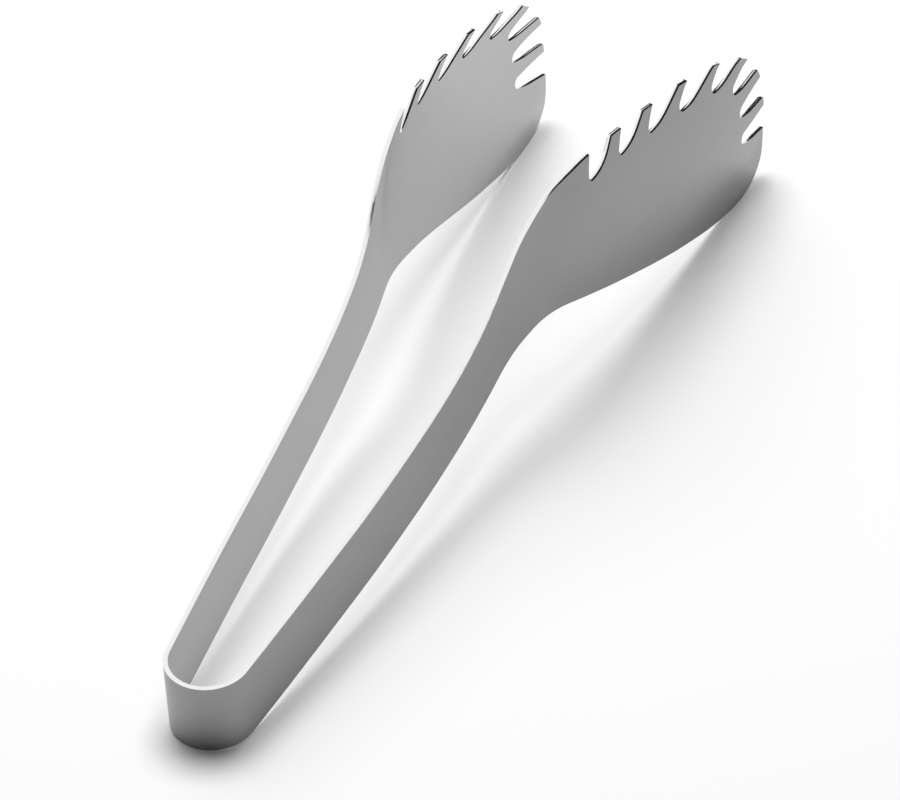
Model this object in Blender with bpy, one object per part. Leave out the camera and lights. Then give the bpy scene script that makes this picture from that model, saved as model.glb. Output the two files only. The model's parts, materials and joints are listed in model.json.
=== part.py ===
"""Pasta tongs of one piece: a strip of sheet steel bent into a spring bow, each end widened
into a dished head with claw teeth along its upper and front edge.

The strip is drawn as a flat blank, as it is stamped. Along it runs the distance from the
middle of the bow, across it the height on the strip, and through it the sheet. The blank is
cut, its tooth slots are punched, and then it is formed: dished, and bent along its plan.
"""

import math

import bmesh
import bpy
from mathutils import Matrix, Vector

# The sheet and the strip, in metres
SHEET = 0.0012
STRIP_WIDTH = 0.020
BOW_RADIUS = 0.010  # to the middle of the sheet
ARM_LENGTH = 0.128
NECK_LENGTH = 0.014
FLEX_REACH = 0.028  # from the bow's end to where an arm flexes as a whole

# The plan, seen from above: how far each stretch leans or turns, in degrees
ARM_SPREAD = 5.2
ARM_TURN_IN = 3.0
NECK_TURN_OUT = 8.0
HEAD_REAR_LENGTH = 0.048
HEAD_REAR_TURN_IN = 4.5
HEAD_FRONT_TURN_IN = 5.5

# The head, measured along and across its own axis, which droops from the arm's line
HEAD_LENGTH = 0.1355
HEAD_UPPER = 0.0367
HEAD_LOWER = 0.0126
HEAD_DROOP = 23.0
HEAD_ROOT_RISE = 0.0146
DISH_DEPTH = 0.0030
DISH_EDGE = 0.06
DISH_START = 0.015
DISH_RAMP = 0.030

# The neck's edges: the distance from the arm's end as a share of the taper, and how far the
# edge has risen from the strip's own, as a share of the whole rise
NECK_TAPER = 0.067
NECK_RISE = 0.0207
NECK_UPPER = ((-1.0, 0.0), (-0.582, 0.068), (-0.373, 0.140), (-0.194, 0.261),
              (-0.030, 0.449), (0.104, 0.715), (0.225, 1.0))
NECK_LOWER = ((-1.0, 0.0), (-0.687, 0.034), (-0.478, 0.082), (-0.276, 0.159),
              (-0.090, 0.271), (0.082, 0.396))

# The head's outline, as shares of its length and of its upper or lower half
HEAD_UPPER_EDGE = ((0.016, 0.630), (0.064, 0.728), (0.152, 0.846), (0.258, 0.920),
                   (0.391, 0.973), (0.537, 1.0), (0.690, 0.981), (0.833, 0.888),
                   (0.920, 0.700), (0.963, 0.449), (0.987, 0.218), (1.0, 0.0))
HEAD_LOWER_EDGE = ((0.984, 0.37), (0.960, 0.58), (0.913, 0.786), (0.813, 0.952),
                   (0.700, 1.0), (0.587, 1.0), (0.344, 0.897), (0.213, 0.840),
                   (0.145, 0.833), (0.089, 0.920), (0.041, 1.143))

# The slots between the teeth, rear to front: the place of the round bottom, as shares of the
# head's length and upper half, then for the rear and the front flank its direction at the
# mouth and how much it bends on the way there, in degrees
SLOT_RADIUS = 0.0015
SLOT_BEND = 0.009
SLOT_REACH = 0.020
CORNER_ROUND = 0.0003
TIP_ROUND = 0.0010
SLOTS = ((0.165, 0.695, 73.0, 26.0, 61.0, 41.0), (0.272, 0.782, 53.0, 32.0, 45.0, 31.0),
         (0.390, 0.827, 36.0, 36.0, 31.0, 22.0), (0.522, 0.851, 31.0, 18.0, 22.0, 23.0),
         (0.672, 0.834, 27.0, 16.0, 16.0, 15.0), (0.782, 0.712, 19.0, 9.0, 9.0, 11.0),
         (0.828, 0.502, 13.0, 9.0, 5.0, 11.0), (0.859, 0.276, 12.0, 1.0, 1.0, 12.0))

# How finely the curves are drawn
CURVE_STEPS = 4
SLOT_ARC_STEPS = 6
FLANK_STEPS = 4
CORNER_STEPS = 2
BOW_STEP = 0.0012
ARM_STEP = 0.010
HEAD_STEP = 0.0065

# The satin finish
STEEL_COLOUR = (0.56, 0.57, 0.58, 1.0)
STEEL_ROUGHNESS = 0.34

BOW_HALF = BOW_RADIUS * math.radians(90.0 - ARM_SPREAD)
HEAD_ROOT = ARM_LENGTH + NECK_LENGTH
BENDS = (
    (BOW_HALF, 90.0 - ARM_SPREAD),
    (ARM_LENGTH, ARM_TURN_IN),
    (NECK_LENGTH, -NECK_TURN_OUT),
    (HEAD_REAR_LENGTH, HEAD_REAR_TURN_IN),
    (HEAD_LENGTH - HEAD_REAR_LENGTH, HEAD_FRONT_TURN_IN),
)


def clear_scene():
    for old in list(bpy.data.objects):
        bpy.data.objects.remove(old, do_unlink=True)


def new_collection(name, hidden=False):
    made = bpy.data.collections.new(name)
    bpy.context.scene.collection.children.link(made)
    made.hide_render = hidden
    return made


def satin_steel():
    made = bpy.data.materials.new("satin_steel")
    made.use_nodes = True
    shader = made.node_tree.nodes["Principled BSDF"]
    shader.inputs["Base Color"].default_value = STEEL_COLOUR
    shader.inputs["Metallic"].default_value = 1.0
    shader.inputs["Roughness"].default_value = STEEL_ROUGHNESS
    return made


def plan(distance):
    """Where the middle of the sheet lies at this distance from the bow's middle, and its heading."""
    x, y, heading = 0.0, -BOW_RADIUS, 0.0
    left = distance
    for number, (length, turn) in enumerate(BENDS):
        last = number == len(BENDS) - 1
        run = left if last else min(left, length)
        curve = math.radians(turn) / length
        x += (math.sin(heading + curve * run) - math.sin(heading)) / curve
        y -= (math.cos(heading + curve * run) - math.cos(heading)) / curve
        heading += curve * run
        left -= run
        if left <= 0.0:
            break
    return x, y, heading


def smoothstep(share):
    share = min(1.0, max(0.0, share))
    return share * share * (3.0 - 2.0 * share)


def along_head(distance, height):
    """A point of the blank in the head's own directions: along its axis and above it."""
    run, rise = distance - BOW_HALF - HEAD_ROOT, height - HEAD_ROOT_RISE
    droop = math.radians(HEAD_DROOP)
    along = run * math.cos(droop) - rise * math.sin(droop)
    above = run * math.sin(droop) + rise * math.cos(droop)
    return along, above


def on_blank(along, above):
    """The reverse of along_head."""
    droop = math.radians(HEAD_DROOP)
    run = along * math.cos(droop) + above * math.sin(droop)
    rise = above * math.cos(droop) - along * math.sin(droop)
    return BOW_HALF + HEAD_ROOT + run, HEAD_ROOT_RISE + rise


def dish(distance, height):
    """How far the head is pressed outwards: an oval bowl, blunter at the rear, out to the rim."""
    along, above = along_head(distance, height)
    middle, half = (HEAD_UPPER - HEAD_LOWER) / 2, (HEAD_UPPER + HEAD_LOWER) / 2
    place = 2.0 * along / HEAD_LENGTH - 1.0
    inside = 1.0 - ((above - middle) / half) ** 2 - abs(place) ** (2.0 if place > 0.0 else 4.0)
    depth = DISH_DEPTH * (inside + math.hypot(inside, DISH_EDGE)) / 2
    return depth * smoothstep((along + DISH_START) / DISH_RAMP)


def formed(point, side):
    """A point of the flat blank, given as distance, height and depth, where forming takes it."""
    distance = abs(point.x)
    x, y, heading = plan(distance)
    out = point.z + dish(distance, point.y)
    hand = side if side else (1.0 if point.x >= 0.0 else -1.0)
    return Vector((hand * (x + out * math.sin(heading)), y - out * math.cos(heading), point.y))


def smooth_through(knots, steps):
    """Points on a smooth curve through the knots, which starts and ends along its end runs."""
    ends = [knots[0] * 2 - knots[1]] + knots + [knots[-1] * 2 - knots[-2]]
    points = []
    for before, start, end, after in zip(ends, ends[1:], ends[2:], ends[3:]):
        span = (end - start).length
        leave = (end - before).normalized() * span
        arrive = (after - start).normalized() * span
        for step in range(steps):
            t = step / steps
            points.append(
                start * (2 * t**3 - 3 * t**2 + 1) + leave * (t**3 - 2 * t**2 + t)
                + end * (3 * t**2 - 2 * t**3) + arrive * (t**3 - t**2)
            )
    return points + [knots[-1]]


def head_outline(split):
    """The blank's outline from the split between arm and head, round the head and back."""
    half = STRIP_WIDTH / 2
    start = BOW_HALF + ARM_LENGTH
    upper = [
        Vector((start + run * NECK_TAPER, half + rise * NECK_RISE)) for run, rise in NECK_UPPER
    ]
    upper += [Vector(on_blank(a * HEAD_LENGTH, v * HEAD_UPPER)) for a, v in HEAD_UPPER_EDGE]
    lower = [Vector(on_blank(a * HEAD_LENGTH, -v * HEAD_LOWER)) for a, v in HEAD_LOWER_EDGE]
    lower += [
        Vector((start + run * NECK_TAPER, rise * NECK_RISE - half))
        for run, rise in reversed(NECK_LOWER)
    ]
    straight = start - NECK_TAPER
    run_in = Vector((min(split, straight) - HEAD_STEP, 0.0))
    ring = [run_in + Vector((0.0, half))] + upper + lower + [run_in - Vector((0.0, half))]
    return smooth_through(ring, CURVE_STEPS)


def slot_outline(along, above, rear, rear_bend, front, front_bend):
    """A slot that opens out of the rim: a round bottom between two flanks that bend, then run on."""
    centre = Vector((along * HEAD_LENGTH, above * HEAD_UPPER))
    first, last = rear + rear_bend + 90.0, front - front_bend + 270.0
    angles = [first + (last - first) * k / SLOT_ARC_STEPS for k in range(SLOT_ARC_STEPS + 1)]
    bottom = [centre + SLOT_RADIUS * heading_of(angle) for angle in angles]
    behind = flank(bottom[0], rear, rear_bend)
    ahead = flank(bottom[-1], front, -front_bend)
    return [Vector(on_blank(*point)) for point in behind[::-1] + bottom + ahead]


def flank(start, mouth, bend):
    """One side of a slot from its bottom out: it sets off off its mouth's direction by the bend."""
    points, place = [], start
    for step in range(FLANK_STEPS):
        heading = heading_of(mouth + bend * (1.0 - (step + 0.5) / FLANK_STEPS))
        place = place + heading * (SLOT_BEND / FLANK_STEPS)
        points.append(place)
    return points + [place + heading_of(mouth) * SLOT_REACH]


def heading_of(degrees):
    return Vector((math.cos(math.radians(degrees)), math.sin(math.radians(degrees))))


def plate(name, outline, thickness, collection):
    """A flat plate with this outline, about the plane of the sheet's middle."""
    curve = bpy.data.curves.new(name, "CURVE")
    curve.dimensions = "2D"
    curve.fill_mode = "BOTH"
    curve.extrude = thickness / 2
    spline = curve.splines.new("POLY")
    spline.points.add(len(outline) - 1)
    for place, point in zip(spline.points, outline):
        place.co = (point.x, point.y, 0.0, 1.0)
    spline.use_cyclic_u = True
    drawn = bpy.data.objects.new(name + "_drawn", curve)
    collection.objects.link(drawn)
    mesh = bpy.data.meshes.new_from_object(
        drawn.evaluated_get(bpy.context.evaluated_depsgraph_get())
    )
    bpy.data.objects.remove(drawn, do_unlink=True)
    made = bpy.data.objects.new(name, mesh)
    collection.objects.link(made)
    sheet = bmesh.new()
    sheet.from_mesh(mesh)
    bmesh.ops.remove_doubles(sheet, verts=sheet.verts, dist=1e-7)
    bmesh.ops.recalc_face_normals(sheet, faces=sheet.faces)
    sheet.to_mesh(mesh)
    sheet.free()
    return made


def punch(blank, cutters):
    """The blank with the slots cut out of it, as a bmesh."""
    for number, cutter in enumerate(cutters):
        cut = blank.modifiers.new(f"slot_{number + 1}", "BOOLEAN")
        cut.operation = "DIFFERENCE"
        cut.solver = "EXACT"
        cut.object = cutter
    seen = blank.evaluated_get(bpy.context.evaluated_depsgraph_get())
    sheet = bmesh.new()
    sheet.from_mesh(seen.to_mesh())
    seen.to_mesh_clear()
    blank.modifiers.clear()
    return sheet


def trim(sheet, place, kept):
    """Cuts the sheet off square at this distance. Kept is 1 for what lies past it, else -1."""
    geometry = sheet.verts[:] + sheet.edges[:] + sheet.faces[:]
    cut = bmesh.ops.bisect_plane(
        sheet, geom=geometry, plane_co=(place, 0.0, 0.0), plane_no=(kept, 0.0, 0.0),
        clear_inner=True,
    )
    edges = [item for item in cut["geom_cut"] if isinstance(item, bmesh.types.BMEdge)]
    bmesh.ops.holes_fill(sheet, edges=edges)


def score(sheet, places, normal):
    """Divides the faces at each place, so that they can follow the bends."""
    for place in places:
        bmesh.ops.bisect_plane(
            sheet, geom=sheet.verts[:] + sheet.edges[:] + sheet.faces[:],
            plane_co=Vector(normal) * place, plane_no=normal,
        )


def steps_between(start, end, step):
    """Evenly spaced places strictly between start and end, about a step apart."""
    count = max(1, math.ceil((end - start) / step))
    return [start + (end - start) * number / count for number in range(1, count)]


def form(sheet, side):
    """Presses and bends the flat sheet to its shape, right hand side 1, left -1, bow 0."""
    bmesh.ops.recalc_face_normals(sheet, faces=sheet.faces)
    for vert in sheet.verts:
        vert.co = formed(vert.co, side)
    if side == -1:
        bmesh.ops.reverse_faces(sheet, faces=sheet.faces)


def finish(name, sheet, collection, material):
    mesh = bpy.data.meshes.new(name)
    sheet.to_mesh(mesh)
    sheet.free()
    mesh.shade_smooth()
    mesh.set_sharp_from_angle(angle=math.radians(40.0))
    mesh.materials.append(material)
    made = bpy.data.objects.new(name, mesh)
    collection.objects.link(made)
    return made


def strip_blank(name, start, end, collection):
    """A straight length of the strip, flat, as a bmesh."""
    half = STRIP_WIDTH / 2
    corners = [Vector((start, -half)), Vector((end, -half)), Vector((end, half)), Vector((start, half))]
    drawn = plate(name, corners, SHEET, collection)
    sheet = bmesh.new()
    sheet.from_mesh(drawn.data)
    bpy.data.objects.remove(drawn, do_unlink=True)
    return sheet


def spring_bow(collection, scrap, material):
    reach = BOW_HALF + FLEX_REACH
    sheet = strip_blank("bow_blank", -reach, reach, scrap)
    bend = steps_between(-BOW_HALF, BOW_HALF, BOW_STEP)
    legs = [BOW_HALF] + steps_between(BOW_HALF, reach, ARM_STEP)
    score(sheet, bend + legs + [-place for place in legs], (1.0, 0.0, 0.0))
    form(sheet, 0)
    return finish("spring_bow", sheet, collection, material)


def round_teeth(sheet):
    """Takes the points off the teeth: a little at each corner, more on the front three teeth."""
    middle = Vector(on_blank(HEAD_LENGTH / 2, (HEAD_UPPER - HEAD_LOWER) / 2))
    corners = {}
    for edge in sheet.edges:
        place = (edge.verts[0].co + edge.verts[1].co).xy / 2
        upright = abs(edge.verts[0].co.z - edge.verts[1].co.z) > SHEET / 2
        if upright and place.x > BOW_HALF + ARM_LENGTH and edge.calc_face_angle() > 0.5:
            arm = place - middle
            corners[math.atan2(arm.y, arm.x)] = edge
    round_rim = [corners[turn] for turn in sorted(corners, reverse=True)]
    tips = round_rim[10:15:2]
    others = [edge for edge in round_rim if edge not in tips]
    for edges, amount in ((tips, TIP_ROUND), (others, CORNER_ROUND)):
        bmesh.ops.bevel(
            sheet, geom=edges, offset=amount, offset_type="OFFSET", segments=CORNER_STEPS,
            profile=0.5, affect="EDGES", material=-1,
        )


def blank_with_teeth(scrap, cutters):
    split = BOW_HALF + FLEX_REACH
    blank = plate("side_blank", head_outline(split), SHEET, scrap)
    sheet = punch(blank, cutters)
    bpy.data.objects.remove(blank, do_unlink=True)
    round_teeth(sheet)
    return sheet


def arm(name, side, toothed, collection, material):
    start, end = BOW_HALF + FLEX_REACH, BOW_HALF + ARM_LENGTH
    sheet = toothed.copy()
    trim(sheet, start, 1)
    trim(sheet, end, -1)
    score(sheet, steps_between(start, end, ARM_STEP), (1.0, 0.0, 0.0))
    form(sheet, side)
    return finish(name, sheet, collection, material)


def head(name, side, toothed, collection, material):
    start = BOW_HALF + ARM_LENGTH
    tip = max(vert.co.x for vert in toothed.verts)
    low = min(vert.co.y for vert in toothed.verts)
    high = max(vert.co.y for vert in toothed.verts)
    neck_end = start + NECK_LENGTH
    sheet = toothed.copy()
    trim(sheet, start, 1)
    places = steps_between(start, neck_end, HEAD_STEP / 2) + [neck_end]
    score(sheet, places + steps_between(neck_end, tip, HEAD_STEP), (1.0, 0.0, 0.0))
    score(sheet, steps_between(low, high, HEAD_STEP), (0.0, 1.0, 0.0))
    form(sheet, side)
    return finish(name, sheet, collection, material)


def resting_tilt(toothed):
    """How far the tongs lean forward when the bow's rear corner and the heads touch the table."""
    back, low = -(BOW_RADIUS + SHEET / 2), -STRIP_WIDTH / 2
    lean = 0.0
    for vert in toothed.verts:
        place = formed(vert.co, 1)
        lean = max(lean, math.atan2(low - place.z, place.y - back))
    return lean


def resting_frame(lean, collection):
    """An empty that stands the strip on the table, its rear lower corner at the origin."""
    frame = bpy.data.objects.new("resting_frame", None)
    turn = Matrix.Rotation(lean, 4, "X")
    corner = Vector((0.0, -(BOW_RADIUS + SHEET / 2), -STRIP_WIDTH / 2))
    frame.matrix_world = Matrix.Translation(-(turn @ corner)) @ turn
    collection.objects.link(frame)
    return frame


def flex_frame(name, side, parent, collection):
    """An empty on the line about which an arm flexes: the sheet's inner face, along its width."""
    x, y, heading = plan(BOW_HALF + FLEX_REACH)
    inner = SHEET / 2
    frame = bpy.data.objects.new(name, None)
    frame.parent = parent
    frame.location = (
        side * (x - inner * math.sin(heading)), y + inner * math.cos(heading), 0.0
    )
    collection.objects.link(frame)
    return frame


def carry(piece, frame):
    """Hangs a piece drawn in the strip's own frame on an empty that is placed in it."""
    piece.parent = frame
    piece.location = -Vector(frame.location)


def main():
    clear_scene()
    tongs = new_collection("pasta_tongs")
    cutting = new_collection("slot_cutters", hidden=True)
    steel = satin_steel()
    cutters = [
        plate(f"slot_cutter_{number + 1}", slot_outline(*slot), 4 * SHEET, cutting)
        for number, slot in enumerate(SLOTS)
    ]
    for cutter in cutters:
        cutter.hide_render = True
        cutter.display_type = "WIRE"
    toothed = blank_with_teeth(cutting, cutters)
    resting = resting_frame(resting_tilt(toothed), tongs)
    bow = spring_bow(tongs, cutting, steel)
    bow.parent = resting
    for word, side in (("right", 1), ("left", -1)):
        frame = flex_frame(word + "_flex", side, resting, tongs)
        carry(arm(word + "_arm", side, toothed, tongs, steel), frame)
        carry(head(word + "_head", side, toothed, tongs, steel), frame)
    toothed.free()


main()
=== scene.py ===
import json
import math

import bmesh
import bpy
from mathutils import Matrix, Vector


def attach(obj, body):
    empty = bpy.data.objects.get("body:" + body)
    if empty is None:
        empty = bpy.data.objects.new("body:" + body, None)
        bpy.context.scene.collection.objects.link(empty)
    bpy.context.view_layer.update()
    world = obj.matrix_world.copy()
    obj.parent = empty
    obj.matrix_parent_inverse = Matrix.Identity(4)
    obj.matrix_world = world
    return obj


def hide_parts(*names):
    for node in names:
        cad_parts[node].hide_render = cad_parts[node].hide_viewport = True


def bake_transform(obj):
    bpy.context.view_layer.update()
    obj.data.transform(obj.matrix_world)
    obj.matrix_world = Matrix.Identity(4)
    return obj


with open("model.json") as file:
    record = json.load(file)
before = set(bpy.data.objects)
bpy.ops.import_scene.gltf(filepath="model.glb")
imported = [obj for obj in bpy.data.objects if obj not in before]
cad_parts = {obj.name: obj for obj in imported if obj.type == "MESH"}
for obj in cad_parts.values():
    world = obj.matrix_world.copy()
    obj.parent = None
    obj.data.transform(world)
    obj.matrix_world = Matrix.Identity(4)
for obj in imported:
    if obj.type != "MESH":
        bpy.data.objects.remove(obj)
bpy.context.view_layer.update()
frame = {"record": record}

# The pressed sheet, in metres and degrees, the same sizes as the solids have
SHEET = 0.0012
STRIP_WIDTH = 0.020
BOW_RADIUS = 0.010
ARM_LENGTH = 0.128
NECK_LENGTH = 0.014
FLEX_REACH = 0.028
ARM_SPREAD = 5.2
ARM_TURN_IN = 3.0
NECK_TURN_OUT = 8.0
HEAD_REAR_LENGTH = 0.048
HEAD_REAR_TURN_IN = 4.5
HEAD_FRONT_TURN_IN = 5.5
HEAD_LENGTH = 0.1355
HEAD_UPPER = 0.0367
HEAD_LOWER = 0.0126
HEAD_DROOP = 23.0
HEAD_ROOT_RISE = 0.0146
DISH_DEPTH = 0.0030
DISH_EDGE = 0.06
DISH_START = 0.015
DISH_RAMP = 0.030
NECK_TAPER = 0.067
NECK_RISE = 0.0207
NECK_UPPER = ((-1.0, 0.0), (-0.582, 0.068), (-0.373, 0.140), (-0.194, 0.261),
              (-0.030, 0.449), (0.104, 0.715), (0.225, 1.0))
NECK_LOWER = ((-1.0, 0.0), (-0.687, 0.034), (-0.478, 0.082), (-0.276, 0.159),
              (-0.090, 0.271), (0.082, 0.396))
HEAD_UPPER_EDGE = ((0.016, 0.630), (0.064, 0.728), (0.152, 0.846), (0.258, 0.920),
                   (0.391, 0.973), (0.537, 1.0), (0.690, 0.981), (0.833, 0.888),
                   (0.920, 0.700), (0.963, 0.449), (0.987, 0.218), (1.0, 0.0))
HEAD_LOWER_EDGE = ((0.984, 0.37), (0.960, 0.58), (0.913, 0.786), (0.813, 0.952),
                   (0.700, 1.0), (0.587, 1.0), (0.344, 0.897), (0.213, 0.840),
                   (0.145, 0.833), (0.089, 0.920), (0.041, 1.143))
SLOT_RADIUS = 0.0015
SLOT_BEND = 0.009
SLOT_REACH = 0.020
CORNER_ROUND = 0.0003
TIP_ROUND = 0.0010
SLOT_CUTTER_DEPTH = 4 * SHEET
STRAIGHT_LEAD = 0.02
SLOTS = ((0.165, 0.695, 73.0, 26.0, 61.0, 41.0), (0.272, 0.782, 53.0, 32.0, 45.0, 31.0),
         (0.390, 0.827, 36.0, 36.0, 31.0, 22.0), (0.522, 0.851, 31.0, 18.0, 22.0, 23.0),
         (0.672, 0.834, 27.0, 16.0, 16.0, 15.0), (0.782, 0.712, 19.0, 9.0, 9.0, 11.0),
         (0.828, 0.502, 13.0, 9.0, 5.0, 11.0), (0.859, 0.276, 12.0, 1.0, 1.0, 12.0))

BOW_HALF = BOW_RADIUS * math.radians(90.0 - ARM_SPREAD)
HEAD_ROOT = ARM_LENGTH + NECK_LENGTH
BENDS = (
    (BOW_HALF, 90.0 - ARM_SPREAD),
    (ARM_LENGTH, ARM_TURN_IN),
    (NECK_LENGTH, -NECK_TURN_OUT),
    (HEAD_REAR_LENGTH, HEAD_REAR_TURN_IN),
    (HEAD_LENGTH - HEAD_REAR_LENGTH, HEAD_FRONT_TURN_IN),
)

# How far before and after the flexing place main takes two points midway between the arms, which it
# does not use further
FLEX_BEFORE = 0.020
FLEX_AFTER = 0.022

# The finer division of the sheet that shows, and how far its cut edges round over
BOW_LEG = 0.006
OUTLINE_STEPS = 12
SLOT_ARC_STEPS = 16
FLANK_STEPS = 12
CORNER_STEPS = 5
BOW_STEP = 0.0004
ARM_STEP = 0.0025
NECK_STEP = 0.0012
HEAD_STEP = 0.0018
ARM_EDGE_TURN = 6.0
HEAD_EDGE_TURN = 25.0
EDGE_TURN_START = 0.008
EDGE_TURN_RAMP = 0.018
TEETH_TURN_START = 0.028
TEETH_TURN_RAMP = 0.008
SHARP_CORNER = 0.5
SMOOTH_BEND = math.radians(20.0)
FRONT_TIPS = slice(10, 15, 2)
NEAR = 1e-6

# The steel: its two sides, the outer one painted darker as painted shade, and its cut edges, which
# the punch leaves brighter and smoother
INNER_SIDE = ((0.402, 0.406, 0.405, 1.0), (0.428, 0.430, 0.428, 1.0))
SHADED_OUTER_SIDE = ((0.272, 0.275, 0.275, 1.0), (0.294, 0.294, 0.292, 1.0))
CUT_EDGE = (0.88, 0.88, 0.88, 1.0)
SIDE_ROUGHNESS = 0.35
EDGE_ROUGHNESS = 0.12
SIDE_AT = SHEET / 2 - 2 * NEAR
GRAIN_SCALE = (60.0, 2400.0, 2400.0)
GRAIN_ROUGHNESS = 0.10
GRAIN_HEIGHT = 0.00002
DRIFT_SCALE = 30.0
DRIFT_ROUGHNESS = 0.04

# The studio, in metres and degrees: compass 0 is the way the heads point, 90 is to the right
STUDIO_MIDDLE = Vector((0.0, 0.14, 0.0))
LAMPS = (("soft_key", 300.0, 60.0, 1.4, 6.7), ("top_key", 337.0, 80.0, 0.9, 17.5))
LAMP_DISTANCE = 1.5
ROOM_LIGHT = 0.13
WHITE = (1.0, 1.0, 1.0, 1.0)
FLOOR_WHITE = (0.8, 0.8, 0.8, 1.0)
FLOOR_SIZE = 20.0
SHADOW_FLOOR = (0.15, 0.5)
DRAPE_BLACK = (0.03, 0.03, 0.03, 1.0)
DRAPE_RADIUS = 1.6
DRAPE_OPENING = (334.0, 75.5, 60.5)
DRAPE_SIDE = -0.2

CAMERA_PLACE = (0.608765, -1.209166, 1.082403)
CAMERA_TURN = (0.943070, 0.002960, 0.419671)
CAMERA_LENS = 293.97
CAMERA_SENSOR = 36.0
CAMERA_REACH = (0.1, 20.0)


# Forming the sheet


def plan(distance):
    """Where the middle of the sheet lies at this distance from the bow's middle, and its heading."""
    x, y, heading = 0.0, -BOW_RADIUS, 0.0
    left = distance
    for number, (length, turn) in enumerate(BENDS):
        run = left if number == len(BENDS) - 1 else min(left, length)
        curve = math.radians(turn) / length
        x += (math.sin(heading + curve * run) - math.sin(heading)) / curve
        y -= (math.cos(heading + curve * run) - math.cos(heading)) / curve
        heading += curve * run
        left -= run
        if left <= 0.0:
            break
    return x, y, heading


def smoothstep(share):
    share = min(1.0, max(0.0, share))
    return share * share * (3.0 - 2.0 * share)


def along_head(distance, height):
    run, rise = distance - BOW_HALF - HEAD_ROOT, height - HEAD_ROOT_RISE
    droop = math.radians(HEAD_DROOP)
    along = run * math.cos(droop) - rise * math.sin(droop)
    return along, run * math.sin(droop) + rise * math.cos(droop)


def on_blank(along, above):
    droop = math.radians(HEAD_DROOP)
    run = along * math.cos(droop) + above * math.sin(droop)
    rise = above * math.cos(droop) - along * math.sin(droop)
    return Vector((BOW_HALF + HEAD_ROOT + run, HEAD_ROOT_RISE + rise))


def dish(distance, height):
    """How far the head is pressed outwards: an oval bowl, blunter at the rear, out to the rim."""
    along, above = along_head(distance, height)
    middle, half = (HEAD_UPPER - HEAD_LOWER) / 2, (HEAD_UPPER + HEAD_LOWER) / 2
    place = 2.0 * along / HEAD_LENGTH - 1.0
    inside = 1.0 - ((above - middle) / half) ** 2 - abs(place) ** (2.0 if place > 0.0 else 4.0)
    depth = DISH_DEPTH * (inside + math.hypot(inside, DISH_EDGE)) / 2
    return depth * smoothstep((along + DISH_START) / DISH_RAMP)


def formed(point, hand):
    x, y, heading = plan(abs(point.x))
    out = point.z + dish(abs(point.x), point.y)
    return Vector((hand * (x + out * math.sin(heading)), y - out * math.cos(heading), point.y))


def resting_place():
    """The turn and shift that stand the strip's own frame on the table, as the CAD part rests."""
    axis = frame["record"]["mounts"][0]["axis"]
    turn = Matrix.Rotation(math.atan2(axis[1], -axis[2]), 4, "X")
    corner = Vector((0.0, -(BOW_RADIUS + SHEET / 2), -STRIP_WIDTH / 2))
    return Matrix.Translation(-(turn @ corner)) @ turn


def on_middle(distance, place):
    """The point midway between the arms, level with this distance along them."""
    return place @ Vector((0.0, plan(distance)[1], 0.0))


# Drawing and cutting the flat blank


def smooth_through(knots, steps):
    ends = [knots[0] * 2 - knots[1]] + knots + [knots[-1] * 2 - knots[-2]]
    points = []
    for before, start, end, after in zip(ends, ends[1:], ends[2:], ends[3:]):
        span = (end - start).length
        leave, arrive = (end - before).normalized() * span, (after - start).normalized() * span
        for step in range(steps):
            t = step / steps
            points.append(
                start * (2 * t**3 - 3 * t**2 + 1) + leave * (t**3 - 2 * t**2 + t)
                + end * (3 * t**2 - 2 * t**3) + arrive * (t**3 - t**2)
            )
    return points + [knots[-1]]


def side_outline(begin):
    """The blank's outline from this distance on, round the head and back."""
    half = STRIP_WIDTH / 2
    start = BOW_HALF + ARM_LENGTH
    knots = [
        Vector((start + run * NECK_TAPER, half + rise * NECK_RISE)) for run, rise in NECK_UPPER
    ]
    knots += [on_blank(a * HEAD_LENGTH, v * HEAD_UPPER) for a, v in HEAD_UPPER_EDGE]
    knots += [on_blank(a * HEAD_LENGTH, -v * HEAD_LOWER) for a, v in HEAD_LOWER_EDGE]
    knots += [
        Vector((start + run * NECK_TAPER, rise * NECK_RISE - half))
        for run, rise in reversed(NECK_LOWER)
    ]
    straight = Vector((start - NECK_TAPER - STRAIGHT_LEAD, 0.0))
    upper, lower = Vector((0.0, half)), Vector((0.0, -half))
    ring = smooth_through([straight + upper] + knots + [straight + lower], OUTLINE_STEPS)
    return [Vector((begin, half))] + ring + [Vector((begin, -half))]


def toward(degrees):
    return Vector((math.cos(math.radians(degrees)), math.sin(math.radians(degrees))))


def slot_outline(along, above, rear, rear_bend, front, front_bend):
    """A slot that opens out of the rim: a round bottom between two flanks that bend, then run on."""
    centre = Vector((along * HEAD_LENGTH, above * HEAD_UPPER))
    first, last = rear + rear_bend + 90.0, front - front_bend + 270.0
    angles = [first + (last - first) * k / SLOT_ARC_STEPS for k in range(SLOT_ARC_STEPS + 1)]
    bottom = [centre + SLOT_RADIUS * toward(angle) for angle in angles]
    behind = flank(bottom[0], rear, rear_bend)
    ahead = flank(bottom[-1], front, -front_bend)
    return [on_blank(*point) for point in behind[::-1] + bottom + ahead]


def flank(start, mouth, bend):
    points, place = [], start
    for step in range(FLANK_STEPS):
        heading = toward(mouth + bend * (1.0 - (step + 0.5) / FLANK_STEPS))
        place = place + heading * (SLOT_BEND / FLANK_STEPS)
        points.append(place)
    return points + [place + toward(mouth) * SLOT_REACH]


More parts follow.
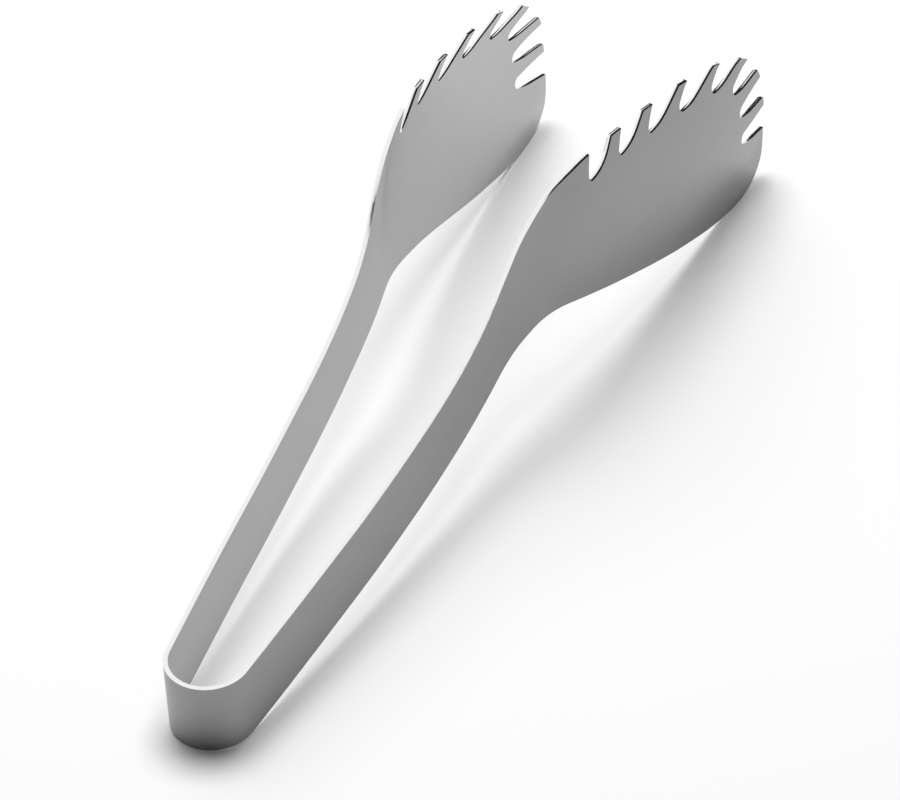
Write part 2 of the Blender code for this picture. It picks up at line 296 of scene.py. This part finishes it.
def round_teeth(sheet):
    """Takes the points off the teeth: a little at each corner, more on the front three teeth."""
    middle = on_blank(HEAD_LENGTH / 2, (HEAD_UPPER - HEAD_LOWER) / 2)
    corners = {}
    for edge in sheet.edges:
        place = (edge.verts[0].co + edge.verts[1].co).xy / 2
        upright = abs(edge.verts[0].co.z - edge.verts[1].co.z) > SHEET / 2
        if upright and place.x > BOW_HALF + ARM_LENGTH and edge.calc_face_angle() > SHARP_CORNER:
            arm = place - middle
            corners[math.atan2(arm.y, arm.x)] = edge
    round_rim = [corners[turn] for turn in sorted(corners, reverse=True)]
    tips = round_rim[FRONT_TIPS]
    others = [edge for edge in round_rim if edge not in tips]
    for edges, amount in ((tips, TIP_ROUND), (others, CORNER_ROUND)):
        bmesh.ops.bevel(
            sheet, geom=edges, offset=amount, offset_type="OFFSET", segments=CORNER_STEPS,
            profile=0.5, affect="EDGES", material=-1,
        )


def plate(name, outline, thickness):
    """A flat plate with this outline, half its thickness to each side of the blank's plane."""
    sheet = bmesh.new()
    face = sheet.faces.new([sheet.verts.new((p.x, p.y, -thickness / 2)) for p in outline])
    raised = bmesh.ops.extrude_face_region(sheet, geom=[face])["geom"]
    lifted = [item for item in raised if isinstance(item, bmesh.types.BMVert)]
    bmesh.ops.translate(sheet, verts=lifted, vec=(0.0, 0.0, thickness))
    bmesh.ops.recalc_face_normals(sheet, faces=sheet.faces)
    return to_object(name, sheet)


def to_object(name, sheet):
    mesh = bpy.data.meshes.new(name)
    sheet.to_mesh(mesh)
    sheet.free()
    made = bpy.data.objects.new(name, mesh)
    bpy.context.scene.collection.objects.link(made)
    return made


def punched(blank, cutters):
    for cutter in cutters:
        cut = blank.modifiers.new("slot", "BOOLEAN")
        cut.operation, cut.solver, cut.object = "DIFFERENCE", "EXACT", cutter
    seen = blank.evaluated_get(bpy.context.evaluated_depsgraph_get())
    sheet = bmesh.new()
    sheet.from_mesh(seen.to_mesh())
    seen.to_mesh_clear()
    bpy.data.objects.remove(blank, do_unlink=True)
    return sheet


def crown(distance, height):
    """How far the cut edge falls back: towards the outer side everywhere, inwards on the teeth."""
    run = distance - BOW_HALF - HEAD_ROOT
    if height > 0.0:
        head = smoothstep((run - EDGE_TURN_START) / EDGE_TURN_RAMP)
        turn = ARM_EDGE_TURN + head * (HEAD_EDGE_TURN - ARM_EDGE_TURN)
    else:
        turn = HEAD_EDGE_TURN * smoothstep((run - TEETH_TURN_START) / TEETH_TURN_RAMP)
    return math.tan(math.radians(turn)) * height ** 2 / SHEET


def crown_edges(sheet, seams):
    """Gives the cut edges their slightly rounded face, which runs on over the seams."""
    half = SHEET / 2
    score(sheet, [half * step for step in (-0.5, 0.0, 0.5)], (0.0, 0.0, 1.0))
    sheet.normal_update()
    moves = []
    for vert in sheet.verts:
        out = Vector((vert.normal.x, vert.normal.y, 0.0)).normalized()
        if any(abs(vert.co.x - seam) < NEAR for seam in seams):
            out = Vector((0.0, math.copysign(1.0, vert.co.y), 0.0))
        moves.append((vert, out * -crown(abs(vert.co.x), vert.co.z)))
    for vert, move in moves:
        vert.co += move


def score(sheet, places, normal):
    for place in places:
        bmesh.ops.bisect_plane(
            sheet, geom=sheet.verts[:] + sheet.edges[:] + sheet.faces[:],
            plane_co=Vector(normal) * place, plane_no=normal,
        )


def steps_between(start, end, step):
    count = max(1, math.ceil((end - start) / step))
    return [start + (end - start) * number / count for number in range(1, count)]


def pressed(name, sheet, hand, place):
    """Bends and dishes the flat sheet, stands it on the table and makes it a finished object."""
    bmesh.ops.recalc_face_normals(sheet, faces=sheet.faces)
    flat = sheet.verts.layers.float_vector.new("flat")
    for vert in sheet.verts:
        vert[flat] = vert.co
        side = hand or (1.0 if vert.co.x >= 0.0 else -1.0)
        vert.co = place @ formed(vert.co, side)
    if hand == -1:
        bmesh.ops.reverse_faces(sheet, faces=sheet.faces)
    made = to_object(name, sheet)
    made.data.shade_smooth()
    made.data.set_sharp_from_angle(angle=SMOOTH_BEND)
    return made


def bow_sheet(place):
    reach, half = BOW_HALF + BOW_LEG, STRIP_WIDTH / 2
    corners = [Vector((-reach, -half)), Vector((reach, -half)), Vector((reach, half)),
               Vector((-reach, half))]
    sheet = punched(plate("bow_blank", corners, SHEET), [])
    crown_edges(sheet, (-reach, reach))
    legs = [BOW_HALF] + steps_between(BOW_HALF, reach, ARM_STEP)
    bend = steps_between(-BOW_HALF, BOW_HALF, BOW_STEP)
    score(sheet, bend + legs + [-leg for leg in legs], (1.0, 0.0, 0.0))
    return pressed("bow_sheet", sheet, 0, place)


def side_sheet(name, hand, cutters, place):
    begin = BOW_HALF + BOW_LEG
    sheet = punched(plate(name + "_blank", side_outline(begin), SHEET), cutters)
    round_teeth(sheet)
    crown_edges(sheet, (begin,))
    neck, root = BOW_HALF + ARM_LENGTH, BOW_HALF + HEAD_ROOT
    tip = max(vert.co.x for vert in sheet.verts)
    low, high = (pick(vert.co.y for vert in sheet.verts) for pick in (min, max))
    score(sheet, steps_between(begin, neck, ARM_STEP) + [neck], (1.0, 0.0, 0.0))
    score(sheet, steps_between(neck, root, NECK_STEP) + [root], (1.0, 0.0, 0.0))
    score(sheet, steps_between(root, tip, HEAD_STEP), (1.0, 0.0, 0.0))
    score(sheet, steps_between(low, high, HEAD_STEP), (0.0, 1.0, 0.0))
    return pressed(name, sheet, hand, place)


# Materials


class Sum:
    """A number on its way through a material: arithmetic on it adds the Math nodes."""

    def __init__(self, paint, socket):
        self.paint, self.socket = paint, socket

    def math(self, operation, *others):
        return self.paint.node("ShaderNodeMath", {"operation": operation}, (self, *others))

    def __add__(self, other):
        return self.math("ADD", other)

    def __sub__(self, other):
        return self.math("SUBTRACT", other)

    def __rsub__(self, other):
        return self.paint.node("ShaderNodeMath", {"operation": "SUBTRACT"}, (other, self))

    def __mul__(self, other):
        return self.math("MULTIPLY", other)

    __radd__, __rmul__ = __add__, __mul__


class Nodes:
    """A node tree in the making."""

    def __init__(self, tree):
        self.tree = tree

    def node(self, kind, settings, inputs, output=0):
        made = self.tree.nodes.new(kind)
        for word, value in settings.items():
            setattr(made, word, value)
        pairs = inputs.items() if isinstance(inputs, dict) else enumerate(inputs)
        for key, value in pairs:
            self.join(made.inputs[key], value)
        return Sum(self, made.outputs[output])

    def join(self, socket, value):
        if isinstance(value, Sum):
            self.tree.links.new(value.socket, socket)
        else:
            socket.default_value = value

    def mixed(self, share, first, second):
        settings = {"data_type": "RGBA"}
        return self.node("ShaderNodeMix", settings, {0: share, 6: first, 7: second}, 2)

    def seen_directly(self):
        """1 where the camera looks, or looks by a reflection or through glass; 0 for the light."""
        ways = ("Is Camera Ray", "Is Glossy Ray", "Is Transmission Ray")
        camera, glossy, through = (
            self.node("ShaderNodeLightPath", {}, {}, way) for way in ways
        )
        return camera.math("MAXIMUM", glossy.math("MAXIMUM", through))


class Paint(Nodes):
    """A material in the making, on its Principled shader."""

    def __init__(self, name, colour, metallic, roughness):
        self.material = bpy.data.materials.new(name)
        self.material.use_nodes = True
        super().__init__(self.material.node_tree)
        self.shader = self.tree.nodes["Principled BSDF"]
        self.give("Base Color", colour)
        self.give("Metallic", metallic)
        self.give("Roughness", roughness)

    def give(self, name, value):
        self.join(self.shader.inputs[name], value)


def satin_steel():
    """Fine satin steel: grain too fine to see singly, drawn along the strip, with a soft drift."""
    paint = Paint("satin_steel", CUT_EDGE, 1.0, SIDE_ROUGHNESS)
    flat = paint.node("ShaderNodeAttribute", {"attribute_name": "flat"}, {}, "Vector")
    through = paint.node("ShaderNodeSeparateXYZ", {}, {"Vector": flat}, "Z")
    outer = through.math("GREATER_THAN", 0.0)
    edge = through.math("ABSOLUTE").math("LESS_THAN", SIDE_AT)
    drawn = paint.node("ShaderNodeMapping", {}, {"Vector": flat, "Scale": GRAIN_SCALE})
    grain = paint.node("ShaderNodeTexNoise", {}, {"Vector": drawn, "Scale": 1.0, "Detail": 2.0})
    blotches = {"Vector": flat, "Scale": DRIFT_SCALE, "Detail": 1.0}
    drift = paint.node("ShaderNodeTexNoise", {}, blotches)
    # Painted shade: the outer side gets a darker base colour than the inner side
    side = paint.mixed(outer, paint.mixed(drift, *INNER_SIDE), paint.mixed(drift, *SHADED_OUTER_SIDE))
    paint.give("Base Color", paint.mixed(edge, side, CUT_EDGE))
    roughness = (
        SIDE_ROUGHNESS + (grain - 0.5) * GRAIN_ROUGHNESS + (drift - 0.5) * DRIFT_ROUGHNESS
    )
    paint.give("Roughness", roughness * (1.0 - edge) + edge * EDGE_ROUGHNESS)
    bump = paint.node(
        "ShaderNodeBump", {}, {"Strength": 0.25, "Distance": GRAIN_HEIGHT, "Height": grain}
    )
    paint.give("Normal", bump)
    return paint.material


# The studio


def way_to(compass, height):
    """The direction at this compass angle and this many degrees above the table."""
    turn, lift = math.radians(compass), math.radians(height)
    level = math.cos(lift)
    return Vector((level * math.sin(turn), level * math.cos(turn), math.sin(lift)))


def soft_lamp(name, compass, height, size, power):
    lamp = bpy.data.lights.new(name, "AREA")
    lamp.shape, lamp.size, lamp.energy = "SQUARE", size, power
    made = bpy.data.objects.new(name, lamp)
    bpy.context.scene.collection.objects.link(made)
    way = way_to(compass, height)
    made.location = STUDIO_MIDDLE + way * LAMP_DISTANCE
    made.rotation_euler = (-way).to_track_quat("-Z", "Y").to_euler()
    made.visible_glossy = False


def white_world():
    world = bpy.data.worlds.new("studio")
    bpy.context.scene.world = world
    world.use_nodes = True
    nodes = Nodes(world.node_tree)
    background = nodes.tree.nodes["Background"]
    background.inputs["Color"].default_value = WHITE
    strength = nodes.seen_directly() * (1.0 - ROOM_LIGHT) + ROOM_LIGHT
    nodes.join(background.inputs["Strength"], strength)


def pale_floor():
    """A white sheet: it takes the shadow round the object, and goes on as even white further out."""
    sheet = bmesh.new()
    bmesh.ops.create_grid(sheet, x_segments=1, y_segments=1, size=FLOOR_SIZE)
    floor = to_object("floor", sheet)
    paint = Paint("floor_white", FLOOR_WHITE, 0.0, 1.0)
    paint.give("Specular IOR Level", 0.0)
    place = paint.node("ShaderNodeTexCoord", {}, {}, "Object")
    away = paint.node(
        "ShaderNodeVectorMath", {"operation": "DISTANCE"}, (place, STUDIO_MIDDLE), "Value"
    )
    settings = {"interpolation_type": "SMOOTHSTEP"}
    ends = {"Value": away, "From Min": SHADOW_FLOOR[0], "From Max": SHADOW_FLOOR[1]}
    far = paint.node("ShaderNodeMapRange", settings, ends)
    lit = paint.node("ShaderNodeBsdfDiffuse", {}, {"Color": WHITE})
    even = paint.node("ShaderNodeEmission", {}, {"Color": WHITE})
    white = paint.node("ShaderNodeMixShader", {}, (far, lit, even))
    own = Sum(paint, paint.shader.outputs[0])
    shown = paint.node("ShaderNodeMixShader", {}, (paint.seen_directly(), own, white))
    paint.join(paint.tree.nodes["Material Output"].inputs["Surface"], shown)
    floor.data.materials.append(paint.material)


def dark_drape():
    """A dark cloth round the table, open above and to the left, that only the steel reflects."""
    sheet = bmesh.new()
    bmesh.ops.create_uvsphere(sheet, u_segments=48, v_segments=24, radius=DRAPE_RADIUS)
    compass, height, spread = DRAPE_OPENING
    rim = (way_to(compass, height), math.cos(math.radians(spread)))
    side = (Vector((1.0, 0.0, 0.0)), DRAPE_SIDE)
    for way, share in (rim, side):
        bmesh.ops.bisect_plane(
            sheet, geom=sheet.verts[:] + sheet.edges[:] + sheet.faces[:],
            plane_co=way * share * DRAPE_RADIUS, plane_no=way,
        )
    gone = []
    for face in sheet.faces:
        middle = face.calc_center_median()
        over, right = (middle.dot(way) - share * DRAPE_RADIUS for way, share in (rim, side))
        if middle.z < 0.0 or (over > 0.0 and right < 0.0):
            gone.append(face)
    bmesh.ops.delete(sheet, geom=gone, context="FACES")
    bmesh.ops.translate(sheet, verts=sheet.verts, vec=STUDIO_MIDDLE)
    drape = to_object("drape", sheet)
    paint = Paint("drape_black", DRAPE_BLACK, 0.0, 1.0)
    paint.give("Specular IOR Level", 0.0)
    drape.data.materials.append(paint.material)
    drape.visible_camera = drape.visible_shadow = drape.visible_diffuse = False


def photo_camera():
    camera = bpy.data.objects.new("camera", bpy.data.cameras.new("camera"))
    bpy.context.scene.collection.objects.link(camera)
    camera.location = CAMERA_PLACE
    camera.rotation_euler = CAMERA_TURN
    camera.data.sensor_width = CAMERA_SENSOR
    camera.data.lens = CAMERA_LENS
    camera.data.clip_start, camera.data.clip_end = CAMERA_REACH
    bpy.context.scene.camera = camera


def main():
    bpy.context.scene.view_settings.view_transform = "Standard"
    place = resting_place()
    cutters = [plate("slot_cutter", slot_outline(*slot), SLOT_CUTTER_DEPTH) for slot in SLOTS]
    steel = satin_steel()
    bow = bow_sheet(place)
    right = side_sheet("right_sheet", 1, cutters, place)
    left = side_sheet("left_sheet", -1, cutters, place)
    for cutter in cutters:
        bpy.data.objects.remove(cutter, do_unlink=True)
    for piece in (bow, right, left):
        piece.data.materials.append(steel)
    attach(bow, "bow")
    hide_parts("spring_bow")
    for piece, word in ((right, "right"), (left, "left")):
        start = on_middle(BOW_HALF + FLEX_REACH - FLEX_BEFORE, place)
        end = on_middle(BOW_HALF + FLEX_REACH + FLEX_AFTER, place)
        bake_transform(piece)
        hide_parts(word + "_arm", word + "_head")
    white_world()
    pale_floor()
    dark_drape()
    for lamp in LAMPS:
        soft_lamp(*lamp)
    photo_camera()


main()
